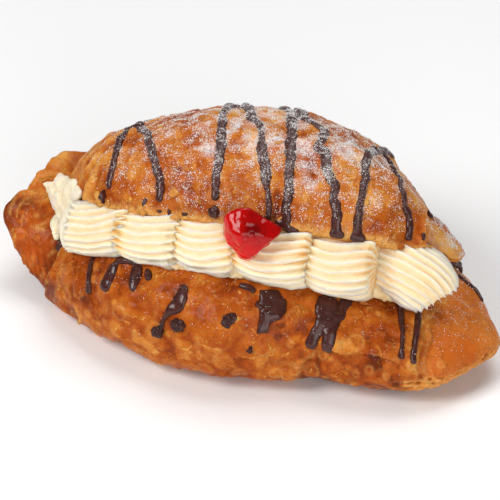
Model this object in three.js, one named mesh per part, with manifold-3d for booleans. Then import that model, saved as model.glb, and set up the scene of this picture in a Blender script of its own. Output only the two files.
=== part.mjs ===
// A Danish pastry filled with cream. A square of laminated dough was folded over into a long pastry with
// blunt corners at both ends, baked, slit along its front and opened like a mouth. A rope of star-piped
// cream shells lies in the slit, and a piece of glazed cherry sits on the cream.
// Millimetres. +X runs along the pastry, -Y is the open front and +Z is up. The underside is flat at z = 0.
import * as THREE from "three";
import { mergeVertices } from "three/addons/utils/BufferGeometryUtils.js";
import Module from "manifold-3d";

const LENGTH = 167; // from corner to corner
const HEIGHT_OF_SLIT = 38.5; // of the base's upper face at mid length
const GAP = 0.35; // clearance between separate pieces

const FLAP_STEP = 2.2; // how far the front flap stands proud of the dough under it
const LID_BELLY = 5; // how far the lid's underside sags below the line from its front edge to its back

const SHELL_RIDGES = 22; // teeth of the piping nozzle
const SHELL_RADIUS = 9.8;
const RIDGE_DEPTH = 0.09; // share of the shell's radius

const CHERRY_LENGTH = 18.5;

const DEG = Math.PI / 180;

// ---------------------------------------------------------------- curves

// Smooth curve through [place, value] keys, with no overshoot between them.
function keyed(keys) {
  const slope = keys
    .slice(1)
    .map(([x, v], i) => (v - keys[i][1]) / (x - keys[i][0]));
  const tangent = keys.map((_, i) => {
    if (i === 0) return slope[0];
    if (i === slope.length) return slope[i - 1];
    const [a, b] = [slope[i - 1], slope[i]];
    return a * b > 0 ? (2 * a * b) / (a + b) : 0;
  });
  return (place) => {
    const x = THREE.MathUtils.clamp(place, keys[0][0], keys.at(-1)[0]);
    const i = Math.max(0, keys.findIndex(([k]) => k >= x) - 1);
    const h = keys[i + 1][0] - keys[i][0];
    const t = (x - keys[i][0]) / h;
    const [t2, t3] = [t * t, t * t * t];
    return (
      (2 * t3 - 3 * t2 + 1) * keys[i][1] +
      (t3 - 2 * t2 + t) * h * tangent[i] +
      (3 * t2 - 2 * t3) * keys[i + 1][1] +
      (t3 - t2) * h * tangent[i + 1]
    );
  };
}

// Signed power, which squares a circle up (p < 1).
const signedPower = (v, p) => Math.sign(v) * Math.abs(v) ** p;

// 1 in the middle of [x0, x1], falling to 0 at both ends as a superellipse of power q.
function endRounding(x, x0, x1, q) {
  const t = THREE.MathUtils.clamp((2 * x - x0 - x1) / (x1 - x0), -1, 1);
  return Math.max(0, 1 - Math.abs(t) ** q) ** (1 / q);
}

// 0 below a, 1 above b, smooth between.
const ramp = (v, a, b) => THREE.MathUtils.smoothstep(v, a, b);

// A place along [x0, x1], closer together towards both ends.
const stationAt = (x0, x1, t) => x0 + ((x1 - x0) * (1 - Math.cos(Math.PI * t))) / 2;

// ---------------------------------------------------------------- solids

// Closed surface through rings of points. Both end rings shrink to one point.
function loft(rings) {
  const around = rings[0].length;
  const middle = (ring) =>
    ring.reduce((sum, p) => sum.add(p), new THREE.Vector3()).divideScalar(ring.length);
  const points = [middle(rings[0]), ...rings.slice(1, -1).flat(), middle(rings.at(-1))];
  const rows = rings.length - 2;
  const at = (row, j) => 1 + row * around + (j % around);
  const last = points.length - 1;
  const index = [];
  for (let j = 0; j < around; j++) {
    index.push(0, at(0, j + 1), at(0, j));
    for (let row = 0; row < rows - 1; row++) {
      index.push(at(row, j), at(row, j + 1), at(row + 1, j + 1));
      index.push(at(row, j), at(row + 1, j + 1), at(row + 1, j));
    }
    index.push(last, at(rows - 1, j), at(rows - 1, j + 1));
  }
  const geometry = new THREE.BufferGeometry().setFromPoints(points);
  geometry.setIndex(index);
  return geometry;
}

const wasm = await Module();
wasm.setup();

const WELD = 1e-4; // vertices closer than this are one

function solidFrom(geometry) {
  const merged = mergeVertices(geometry, WELD);
  return new wasm.Manifold(
    new wasm.Mesh({
      numProp: 3,
      vertProperties: merged.attributes.position.array,
      triVerts: new Uint32Array(merged.index.array),
    }),
  );
}

const joined = (solids) => solids.reduce((all, one) => all.add(one));

// The largest body of a solid, for a cut that leaves crumbs.
const largestOf = (solid) =>
  solid.decompose().reduce((best, one) => (one.volume() > best.volume() ? one : best));

function meshFrom(name, solid, material) {
  const { numProp, vertProperties, triVerts, numVert } = solid.getMesh();
  const positions = new Float32Array(numVert * 3);
  for (let i = 0; i < numVert; i++)
    positions.set(vertProperties.subarray(i * numProp, i * numProp + 3), i * 3);
  const geometry = new THREE.BufferGeometry();
  geometry.setAttribute("position", new THREE.BufferAttribute(positions, 3));
  geometry.setIndex(new THREE.BufferAttribute(new Uint32Array(triVerts), 1));
  geometry.computeVertexNormals();
  const mesh = new THREE.Mesh(geometry, material);
  mesh.name = name;
  return mesh;
}

// ---------------------------------------------------------------- base: the lower half, with the front flap

// Its sections are rounded boxes, as wide as front and back say and as high as up and down say, about a
// centre line that rises towards the left corner, where the dough is also tilted up.
const BASE = {
  x0: -LENGTH / 2,
  x1: LENGTH / 2,
  stations: 38,
  around: 36,
  endPower: 2.2,
  endThinning: 0.6, // the height shrinks less than the width towards the corners
  boxAcross: 0.75,
  boxUp: 0.72,
};
const base = {
  centreY: keyed([[-83, 0], [-70, 4], [-60, 4], [-30, 1], [30, 1], [60, -2], [83, -5]]),
  centreZ: keyed([[-83, 24], [-72, 20], [-56, 15], [-30, 14], [60, 11], [83, 10]]),
  front: keyed([
    [-83, 16], [-72, 30], [-60, 32], [-30, 38], [0, 41.7], [35, 35.7], [55, 39.5], [70, 39.5], [83, 24],
  ]),
  back: keyed([[-83, 14], [-70, 39], [-50, 40], [0, 40], [35, 37], [60, 37], [70, 37], [83, 20]]),
  up: keyed([[-83, 6], [-66, 12.5], [-50, 18.5], [0, HEIGHT_OF_SLIT - 13], [50, 19.5], [66, 14.5], [83, 9]]),
  down: keyed([[-83, 6], [-66, 14], [-50, 15.5], [30, 14], [83, 10]]),
  tilt: keyed([[-83, 40], [-70, 45], [-50, 14], [-30, 0], [50, 0], [83, -4]]),
};

// The front flap is folded up over the base. It ends in a slanted edge near each corner, and low in the
// middle of its right half its hem lifts off the dough under it in an arch.
const FLAP = {
  leftEdge: (z) => -66 + 0.36 * z,
  rightEdge: (z) => 67 - 0.17 * z,
  hem: (x) => 5 + 11 * Math.exp(-(((x - 37) / 15) ** 2)),
  softness: 1.5,
};

function flapStep(x, z) {
  const [left, right, hem, soft] = [FLAP.leftEdge(z), FLAP.rightEdge(z), FLAP.hem(x), FLAP.softness];
  const inside = ramp(x, left - soft, left + soft) * (1 - ramp(x, right - soft, right + soft));
  return FLAP_STEP * inside * ramp(z, hem - soft, hem + soft);
}

function baseSolid(grow = 0) {
  const rings = [];
  for (let i = 0; i <= BASE.stations; i++) {
    const x = stationAt(BASE.x0 - grow, BASE.x1 + grow, i / BASE.stations);
    const round = endRounding(x, BASE.x0 - grow, BASE.x1 + grow, BASE.endPower);
    const tilt = base.tilt(x) * DEG;
    const ring = [];
    for (let j = 0; j < BASE.around; j++) {
      const angle = (2 * Math.PI * j) / BASE.around;
      const [c, s] = [Math.cos(angle), Math.sin(angle)];
      const reach = (c < 0 ? base.front(x) : base.back(x)) * round + grow;
      const rise = (s > 0 ? base.up(x) : base.down(x)) * round ** BASE.endThinning + grow;
      const across = reach * signedPower(c, BASE.boxAcross);
      const upward = rise * signedPower(s, BASE.boxUp);
      const y = base.centreY(x) + across * Math.cos(tilt) - upward * Math.sin(tilt);
      const z = base.centreZ(x) + across * Math.sin(tilt) + upward * Math.cos(tilt);
      const step = Math.sqrt(Math.max(0, -c)) * flapStep(x, z) * round;
      ring.push(new THREE.Vector3(x, y - step, Math.max(z, -grow)));
    }
    rings.push(ring);
  }
  return solidFrom(loft(rings));
}

// ---------------------------------------------------------------- lid: the upper half, lifted at its front

// Its sections are domes on a straight line from the front edge down to the back, where it meets the base.
const LID = {
  x0: -62,
  x1: 61.5,
  stations: 32,
  outerSteps: 22,
  underSteps: 10,
  endPower: 2.6,
  endNarrowing: 0.35,
  endThinning: 0.8,
  boxAcross: 0.85,
  boxUp: 0.8,
};
const lid = {
  frontY: keyed([[-62, 0], [-50, -13], [-20, -24], [0, -25.5], [30, -24], [50, -15], [60, -4]]),
  frontZ: keyed([[-62, 40], [-50, 44.5], [-25, 50], [0, 52.5], [30, 51.5], [48, 47], [60, 41]]),
  backY: keyed([[-62, 27], [-30, 36], [0, 39.4], [30, 35.5], [60, 24]]),
  backZ: keyed([[-62, 20], [0, 22], [60, 18]]),
  arch: keyed([[-62, 27], [-45, 26.8], [-25, 29.5], [0, 31.4], [25, 31.8], [45, 27.5], [60, 18]]),
};

function lidSolid(grow = 0) {
  const rings = [];
  for (let i = 0; i <= LID.stations; i++) {
    const x = stationAt(LID.x0 - grow, LID.x1 + grow, i / LID.stations);
    const round = endRounding(x, LID.x0 - grow, LID.x1 + grow, LID.endPower);
    const front = new THREE.Vector2(lid.frontY(x), lid.frontZ(x));
    const chord = new THREE.Vector2(lid.backY(x), lid.backZ(x)).sub(front);
    const width = chord.length() + 2 * grow;
    const along = chord.clone().normalize();
    const outward = new THREE.Vector2(-along.y, along.x);
    const middle = front.clone().addScaledVector(chord, 0.5);
    const shrink = round ** LID.endNarrowing;
    const place = (s, h) =>
      middle
        .clone()
        .addScaledVector(along, s * (width / 2) * shrink)
        .addScaledVector(outward, h * shrink);
    const ring = [];
    for (let j = 0; j < LID.underSteps; j++) {
      const t = j / LID.underSteps;
      ring.push(place(-1 + 2 * t, -(LID_BELLY + grow) * round * Math.sqrt(Math.sin(Math.PI * t)) - grow));
    }
    for (let j = 0; j < LID.outerSteps; j++) {
      const angle = Math.PI * (1 - j / LID.outerSteps);
      const height = lid.arch(x) * round ** LID.endThinning + grow;
      ring.push(place(-signedPower(Math.cos(angle), LID.boxAcross), height * Math.sin(angle) ** LID.boxUp));
    }
    rings.push(ring.map(({ x: y, y: z }) => new THREE.Vector3(x, y, z)));
  }
  return solidFrom(loft(rings));
}

// The lid's right corner folds back into a lobe of its own behind the front part.
const LOBE = { x0: 40, x1: 63.5, stations: 10, around: 16, endPower: 2.3, centreY: 19, halfDepth: 11 };
const lobe = {
  centreZ: keyed([[40, 33], [55, 29], [66, 23]]),
  halfHeight: keyed([[40, 12], [55, 9], [66, 5]]),
};

function lobeSolid(grow = 0) {
  const rings = [];
  for (let i = 0; i <= LOBE.stations; i++) {
    const x = stationAt(LOBE.x0 - grow, LOBE.x1 + grow, i / LOBE.stations);
    const round = endRounding(x, LOBE.x0 - grow, LOBE.x1 + grow, LOBE.endPower);
    const ring = [];
    for (let j = 0; j < LOBE.around; j++) {
      const angle = (2 * Math.PI * j) / LOBE.around;
      const y = LOBE.centreY + (LOBE.halfDepth + grow) * round * Math.cos(angle);
      const z = lobe.centreZ(x) + (lobe.halfHeight(x) + grow) * round * Math.sin(angle);
      ring.push(new THREE.Vector3(x, y, z));
    }
    rings.push(ring);
  }
  return solidFrom(loft(rings));
}

const crustSolid = (grow = 0) => joined([baseSolid(grow), lidSolid(grow), lobeSolid(grow)]);

// ---------------------------------------------------------------- cream: star-piped shells in the slit

// Each shell was started at its fat head, on the right, and pulled to the left, where the next head covers
// its tail. Heads are [x, y, z].
const SHELL_HEADS = [
  [70.5, -11, 34],
  [50.2, -20.5, 41],
  [29, -24.5, 42],
  [7.1, -26, 42],
  [-13.1, -25, 41],
  [-30.5, -22, 39.5],
];
const FIRST_TAIL = [44, -19, 42]; // the last shell on the right slants down onto the base
const ROPE_END_X = -51;
const TAIL_TUCK = { x: 3, y: 1.5, z: 1 }; // how far a tail runs under the next head, back and down
const SHELL = {
  stations: 5,
  stepsPerRidge: 2,
  headShare: 0.6, // of the full radius, at the blunt head
  capLength: 0.14, // share of the length in which the head reaches its full radius
  tailRadius: 8,
  taperPower: 1.2,
  arch: 1,
};

function starTube(from, to) {
  const around = SHELL_RIDGES * SHELL.stepsPerRidge;
  const rings = [];
  for (let i = 0; i <= SHELL.stations; i++) {
    const t = i / SHELL.stations;
    const centre = from.clone().lerp(to, t);
    centre.z += SHELL.arch * Math.sin(Math.PI * t);
    const cap = Math.sqrt(1 - (1 - Math.min(1, t / SHELL.capLength)) ** 2);
    const radius =
      (SHELL_RADIUS + (SHELL.tailRadius - SHELL_RADIUS) * t ** SHELL.taperPower) *
      (SHELL.headShare + (1 - SHELL.headShare) * cap);
    const ring = [];
    for (let j = 0; j < around; j++) {
      const angle = (2 * Math.PI * j) / around;
      const ridge = 1 + RIDGE_DEPTH * (1 - 2 * Math.abs(Math.sin((SHELL_RIDGES / 2) * angle)));
      const r = radius * ridge;
      ring.push(
        new THREE.Vector3(centre.x, centre.y - r * Math.cos(angle), centre.z + r * Math.sin(angle)),
      );
    }
    rings.push(ring);
  }
  return solidFrom(loft(rings));
}

function shellSolids() {
  return SHELL_HEADS.map(([x, y, z], i) => {
    const nextX = SHELL_HEADS[i + 1]?.[0] ?? ROPE_END_X;
    const tail = i === 0 ? FIRST_TAIL : [nextX - TAIL_TUCK.x, y - TAIL_TUCK.y, z - TAIL_TUCK.z];
    return starTube(new THREE.Vector3(x, y, z), new THREE.Vector3(...tail));
  });
}

// An uneven rounded lump, from a sphere drawn out along each axis.
function lump([x, y, z], [rx, ry, rz], tiltDeg) {
  const geometry = new THREE.SphereGeometry(1, 14, 9);
  geometry.deleteAttribute("normal");
  geometry.deleteAttribute("uv");
  geometry.scale(rx, ry, rz);
  geometry.rotateX(tiltDeg * DEG);
  geometry.translate(x, y, z);
  return solidFrom(geometry);
}

// The cream under the lid, behind the shells, down to where lid and base meet.
const creamInSlit = () => lump([2, -8, 38.5], [54, 17, 8], -12);

// Where the rope was torn off, it is smeared over the left corner.
const smearSolids = () => [
  lump([-56, -9, 35], [8, 12, 7], 32),
  lump([-61, -2, 35], [6, 9, 4], 42),
  lump([-55, -19, 31], [5, 6, 6], 10),
];

// ---------------------------------------------------------------- cherry

// A cut piece of glazed cherry: round at its left, drawn to a point at its right, narrow below.
const CHERRY = {
  centre: [10.5, -30, 53],
  stations: 10,
  around: 14,
  depth: 0.9, // share of the radius, front to back
  above: 0.85, // share of the radius, upwards
  below: 1.08, // share of the radius, downwards
  pinch: 0.35, // how much narrower it is at its lowest point
};
const cherry = {
  radius: keyed([[0, 0], [0.08, 4.6], [0.35, 8.2], [0.6, 7.2], [1, 0.6]]),
  lift: keyed([[0, 0], [0.4, 0], [1, 1.5]]),
};

function cherrySolid(grow = 0) {
  const [x, y, z] = CHERRY.centre;
  const rings = [];
  for (let i = 0; i <= CHERRY.stations; i++) {
    const t = i / CHERRY.stations;
    const ring = [];
    for (let j = 0; j < CHERRY.around; j++) {
      const angle = (2 * Math.PI * j) / CHERRY.around;
      const [c, s] = [Math.cos(angle), Math.sin(angle)];
      const r = cherry.radius(t) + grow;
      ring.push(
        new THREE.Vector3(
          x + (t - 0.5) * (CHERRY_LENGTH + 2 * grow),
          y + r * CHERRY.depth * c * (1 + CHERRY.pinch * Math.min(0, s)),
          z + cherry.lift(t) + r * s * (s < 0 ? CHERRY.below : CHERRY.above),
        ),
      );
    }
    rings.push(ring);
  }
  return solidFrom(loft(rings));
}

// ---------------------------------------------------------------- the pastry

const finish = (color, roughness) => new THREE.MeshStandardMaterial({ color, roughness, metalness: 0 });

const crust = crustSolid();
const crustClearance = crustSolid(GAP);
const cherryPiece = cherrySolid().subtract(crustClearance);
const creamPiece = joined([...shellSolids(), creamInSlit(), ...smearSolids()])
  .subtract(crustClearance)
  .subtract(cherrySolid(GAP));

const danishPastry = new THREE.Group();
danishPastry.name = "danish_pastry";
danishPastry.add(
  meshFrom("pastry", crust, finish(0xc67a35, 0.5)),
  meshFrom("cream", largestOf(creamPiece), finish(0xfbeccb, 0.55)),
  meshFrom("cherry", largestOf(cherryPiece), finish(0xc01010, 0.15)),
);

export default danishPastry;
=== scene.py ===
import math

import bpy
import numpy as np
from mathutils import Matrix, Vector
from mathutils.bvhtree import BVHTree


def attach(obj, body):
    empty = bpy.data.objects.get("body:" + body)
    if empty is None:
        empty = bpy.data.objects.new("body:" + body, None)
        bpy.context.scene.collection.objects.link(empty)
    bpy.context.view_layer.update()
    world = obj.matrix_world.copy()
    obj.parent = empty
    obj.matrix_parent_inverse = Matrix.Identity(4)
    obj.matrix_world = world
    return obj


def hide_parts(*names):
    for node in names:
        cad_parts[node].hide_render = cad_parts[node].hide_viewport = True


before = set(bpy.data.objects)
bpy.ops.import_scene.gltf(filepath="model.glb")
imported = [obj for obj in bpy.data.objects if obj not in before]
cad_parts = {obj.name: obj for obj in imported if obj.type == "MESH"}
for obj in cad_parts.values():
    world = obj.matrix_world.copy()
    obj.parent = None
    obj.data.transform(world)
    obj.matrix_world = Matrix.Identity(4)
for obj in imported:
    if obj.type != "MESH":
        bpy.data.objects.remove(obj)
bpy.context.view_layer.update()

# A Danish pastry filled with piped cream, with strands of chocolate, icing sugar and a piece of glazed
# cherry. All shapes are worked out in millimetres, as in the CAD part, and become metres in add_piece().
# +X runs along the pastry, -Y is its open front and +Z is up.
MM = 0.001

LENGTH = 167
HEIGHT_OF_SLIT = 38.5
FLAP_STEP = 2.2
LID_BELLY = 5


# ---------------------------------------------------------------- numbers along curves

def keyed(place, keys):
    """Smooth curve through (place, value) keys, with no overshoot between them."""
    kx, ky = np.array(keys, float).T
    slope = np.diff(ky) / np.diff(kx)
    tangent = np.concatenate([slope[:1], np.zeros(len(kx) - 2), slope[-1:]])
    a, b = slope[:-1], slope[1:]
    same = a * b > 0
    tangent[1:-1][same] = (2 * a * b)[same] / (a + b)[same]
    x = np.clip(np.asarray(place, float), kx[0], kx[-1])
    i = np.clip(np.searchsorted(kx, x, side="right") - 1, 0, len(kx) - 2)
    h = kx[i + 1] - kx[i]
    t = (x - kx[i]) / h
    return (
        (2 * t**3 - 3 * t**2 + 1) * ky[i]
        + (t**3 - 2 * t**2 + t) * h * tangent[i]
        + (3 * t**2 - 2 * t**3) * ky[i + 1]
        + (t**3 - t**2) * h * tangent[i + 1]
    )


def signed_power(v, p):
    return np.sign(v) * np.abs(v) ** p


def end_rounding(x, x0, x1, q):
    """1 in the middle of [x0, x1], falling to 0 at both ends as a superellipse of power q."""
    t = np.clip((2 * x - x0 - x1) / (x1 - x0), -1, 1)
    return np.maximum(0, 1 - np.abs(t) ** q) ** (1 / q)


def ramp(v, a, b):
    """0 at a, 1 at b, smooth between. a may be the larger."""
    t = np.clip((v - a) / (b - a), 0, 1)
    return t * t * (3 - 2 * t)


def stations(x0, x1, count, evenness=0.25):
    """Places along [x0, x1], closer together towards both ends."""
    t = np.linspace(0, 1, count)
    return x0 + (x1 - x0) * (evenness * t + (1 - evenness) * (1 - np.cos(np.pi * t)) / 2)


def near(points, centre, radii):
    """1 at a centre, falling smoothly to almost 0 one and a half radii away."""
    return np.exp(-(((points - np.array(centre)) / np.array(radii)) ** 2).sum(axis=-1) * 1.5)


def saw(v, softness):
    """A row of steps that climb slowly from 0 to 1 and drop back fast."""
    f = v - np.floor(v)
    return np.where(f < 1 - softness, f / (1 - softness), (1 - f) / softness)


def bell(v, width):
    """1 where v is 0, falling smoothly to almost 0 two widths away on both sides."""
    return np.exp(-((v / width) ** 2))


def unit(v):
    """Vectors made one long."""
    return v / np.maximum(np.linalg.norm(v, axis=-1, keepdims=True), 1e-9)


def round_turn(count):
    """Angles once round, as a row."""
    return 2 * np.pi * np.arange(count)[None] / count


def ball(rows, around):
    """The ways out from the middle of a ball, from its +X pole to its -X pole."""
    a, b = np.linspace(0, np.pi, rows)[:, None], round_turn(around)
    return np.stack([np.cos(a) + 0 * b, np.sin(a) * np.cos(b), np.sin(a) * np.sin(b)], -1)


def run_along(route, gap):
    """Distances about gap apart along a route, and the places there, on a smooth curve through its points."""
    route = np.array(route, float)
    run = np.concatenate([[0], np.cumsum(np.linalg.norm(np.diff(route, axis=0), axis=1))])
    d = np.linspace(0, run[-1], max(8, int(run[-1] / gap)))
    return d, np.stack([keyed(d, list(zip(run, route[:, k]))) for k in range(3)], -1)


def spread(values, d):
    """Values spread evenly along the distances d, with smooth change between them."""
    return keyed(d, list(zip(np.linspace(0, d[-1], len(values)), values)))


def round_outline(outline, count):
    """Places round a closed curve through the points of an outline."""
    keys = np.linspace(0, 1, len(outline) + 1)
    loop = np.concatenate([outline, outline[:1]])
    return np.stack([keyed(np.arange(count) / count, list(zip(keys, loop[:, k]))) for k in range(3)], -1)


class Noise:
    """Smooth seeded noise in space, from about -1 to 1."""

    def __init__(self, seed):
        rng = np.random.default_rng(seed)
        self.order = np.concatenate([rng.permutation(256)] * 2)
        self.slopes = unit(rng.normal(size=(256, 3)))

    def one(self, q):
        cell = np.floor(q).astype(int)
        f = q - cell
        fade = f * f * f * (f * (f * 6 - 15) + 10)
        total = 0
        for dx in (0, 1):
            for dy in (0, 1):
                for dz in (0, 1):
                    a = self.order[(cell[..., 0] + dx) & 255]
                    b = self.order[a + ((cell[..., 1] + dy) & 255)]
                    g = self.slopes[self.order[b + ((cell[..., 2] + dz) & 255)]]
                    corner = np.array([dx, dy, dz])
                    share = np.prod(np.where(corner, fade, 1 - fade), axis=-1)
                    total = total + share * (g * (f - corner)).sum(axis=-1)
        return total * 1.6

    def __call__(self, points, size, layers=1, gain=0.5):
        total, weight = 0, 1
        for k in range(layers):
            total = total + weight * self.one(points * (2**k / size) + 31.7 * k)
            weight = weight * gain
        return total


# ---------------------------------------------------------------- skins: closed surfaces of rings

class Skin:
    """Rings of points in mm. The first and last rings shrink to a point. It also holds its looks: the
    values at each point that its material reads, such as how brown it is."""

    def __init__(self, points):
        self.p = points
        self.looks = {}

    def normals(self):
        n = np.cross(np.gradient(self.p, axis=0), np.roll(self.p, -1, axis=1) - np.roll(self.p, 1, axis=1))
        for _ in range(2):
            n = unit(n)
            n = n + (np.roll(n, 1, axis=1) + np.roll(n, -1, axis=1)) / 2
            n[1:-1] = n[1:-1] + (n[2:] + n[:-2]) / 2
        n = unit(n)
        if (n * (self.p - self.p.mean(axis=1, keepdims=True))).sum() < 0:
            n = -n
        return n

    def push(self, amount, normals=None):
        n = self.normals() if normals is None else normals
        self.p = self.p + n * amount[..., None]

    def chosen(self, rng, count, where):
        """Random points of the skin. where(points) is how likely one is at each place."""
        chance = where(self.p).ravel() * self.areas().ravel()
        picks = rng.choice(chance.size, count, replace=False, p=chance / chance.sum())
        return self.p.reshape(-1, 3)[picks]

    def rings_near(self, x, reach):
        """The slice of rings that lie within reach of x on average."""
        return slice(*np.searchsorted(self.p[:, :, 0].mean(axis=1), [x - reach, x + reach]))

    def blisters(self, seed, count, where, radii, heights, rim):
        """Low round bubbles. Returns how much each point is on a bubble, and on its rim."""
        rng = np.random.default_rng(seed)
        on, rims, lift = (np.zeros(self.p.shape[:2]) for _ in range(3))
        for centre in self.chosen(rng, count, where):
            r = radii[0] + (radii[1] - radii[0]) * rng.random() ** 2
            h = heights[0] + (heights[1] - heights[0]) * rng.random()
            rows = self.rings_near(centre[0], 1.3 * r)
            stretch = 0.8 + 0.5 * rng.random(3)
            d = np.sqrt((((self.p[rows] - centre) / stretch) ** 2).sum(axis=-1)) / r
            dome = np.maximum(0, 1 - d**2) ** 1.2 * h
            ring = bell((d - 0.85) * r, 0.45)
            lift[rows] = np.maximum(lift[rows], dome + ring * rim * h)
            on[rows] = np.maximum(on[rows], ramp(d, 1.1, 0.8) * (0.3 + 0.7 * rng.random()))
            rims[rows] = np.maximum(rims[rows], ring * (0.3 + 0.7 * rng.random()))
        self.push(lift)
        return on, rims

    def plates(self, seed, count, where, radii, heights):
        """Thin irregular scales of the top layer, each lifted a little at one side. Returns how each point's
        scale differs in tone, and how much the point is on a scale's bare edge."""
        rng = np.random.default_rng(seed)
        lift, tone, bare = (np.zeros(self.p.shape[:2]) for _ in range(3))
        ragged = 0.32 * warp(self.p, 2.6, 3)
        for centre in self.chosen(rng, count, where):
            r = radii[0] + (radii[1] - radii[0]) * rng.random() ** 1.5
            up, stretch = rng.normal(size=3), 0.7 + 0.8 * rng.random(3)
            rows = self.rings_near(centre[0], 2 * r)
            q = (self.p[rows] - centre) / (r * stretch)
            d = np.sqrt((q**2).sum(axis=-1)) + ragged[rows]
            raised = 0.25 + 0.75 * np.clip(0.5 + 0.6 * (q @ unit(up)), 0, 1)
            inside = ramp(d, 1.0, 1.0 - 0.45 / r) * (d < 1)
            high = heights[0] + (heights[1] - heights[0]) * rng.random()
            lift[rows] = np.maximum(lift[rows], inside * raised * high)
            tone[rows] = tone[rows] * (1 - inside) + inside * (rng.random() * 2 - 1)
            edge = bell((d - 0.97) * r, 0.3) * raised**2
            bare[rows] = np.maximum(bare[rows] * (1 - inside * (d < 0.9)), edge)
        self.push(lift)
        return tone, bare

    def areas(self):
        a = np.gradient(self.p, axis=0)
        b = (np.roll(self.p, -1, axis=1) - np.roll(self.p, 1, axis=1)) / 2
        return np.linalg.norm(np.cross(a, b), axis=-1)

    def mesh(self):
        """Points, faces and looks, as arrays."""
        def flat(grid):
            middle = grid[1:-1].reshape((-1,) + grid.shape[2:])
            return np.concatenate([grid[:1].mean(axis=1), middle, grid[-1:].mean(axis=1)])

        rows, around = self.p.shape[0] - 2, self.p.shape[1]
        at = 1 + np.arange(rows * around).reshape(rows, around)
        turned = np.roll(at, -1, axis=1)
        last = rows * around + 1
        quads = np.stack([at[:-1], turned[:-1], turned[1:], at[1:]], axis=-1).reshape(-1, 4)
        ends = np.concatenate([
            np.stack([np.zeros(around, int), turned[0], at[0]], axis=-1),
            np.stack([np.full(around, last), at[-1], turned[-1]], axis=-1),
        ])
        points = flat(self.p)
        a, b, c = points[ends.T]
        volume = (a * np.cross(b, c)).sum()
        for k in range(2):
            a, b, c = points[quads[:, 0]], points[quads[:, k + 1]], points[quads[:, k + 2]]
            volume = volume + (a * np.cross(b, c)).sum()
        if volume < 0:
            quads, ends = quads[:, ::-1], ends[:, ::-1]
        return points, [quads, ends], {k: flat(v) for k, v in self.looks.items()}


def merge(meshes):
    """Several (points, faces, looks) as one."""
    points = np.concatenate([m[0] for m in meshes])
    faces, start = [], 0
    for p, fs, _ in meshes:
        faces += [f + start for f in fs]
        start += len(p)
    looks = {k: np.concatenate([m[2].get(k, np.zeros(len(m[0]))) for m in meshes]) for k in meshes[0][2]}
    return points, faces, looks


def add_piece(name, mesh_data, material, replaces=()):
    """A piece of the pastry as a Blender object, in metres."""
    points, faces, looks = mesh_data
    mesh = bpy.data.meshes.new(name)
    mesh.vertices.add(len(points))
    mesh.vertices.foreach_set("co", (np.asarray(points, np.float32) * MM).ravel())
    corners = np.concatenate([f.ravel() for f in faces])
    sizes = np.concatenate([np.full(len(f), f.shape[1]) for f in faces])
    mesh.loops.add(len(corners))
    mesh.loops.foreach_set("vertex_index", corners.astype(np.int32))
    mesh.polygons.add(len(sizes))
    starts = np.concatenate([[0], np.cumsum(sizes)[:-1]])
    mesh.polygons.foreach_set("loop_start", starts.astype(np.int32))
    for key, values in looks.items():
        attribute = mesh.attributes.new(key, "FLOAT", "POINT")
        attribute.data.foreach_set("value", np.asarray(values, np.float32))
    mesh.update(calc_edges=True)
    mesh.shade_smooth()
    mesh.materials.append(material)
    piece = bpy.data.objects.new(name, mesh)
    bpy.context.scene.collection.objects.link(piece)
    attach(piece, "root")
    if replaces:
        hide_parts(*replaces)
    return piece


# ---------------------------------------------------------------- materials

def srgb(r, g, b):
    """A colour given as 0 to 255 in sRGB, as the shader wants it."""
    return tuple(
        v / 12.92 if v <= 0.04045 else ((v + 0.055) / 1.055) ** 2.4 for v in (r / 255, g / 255, b / 255)
    ) + (1.0,)


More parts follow.
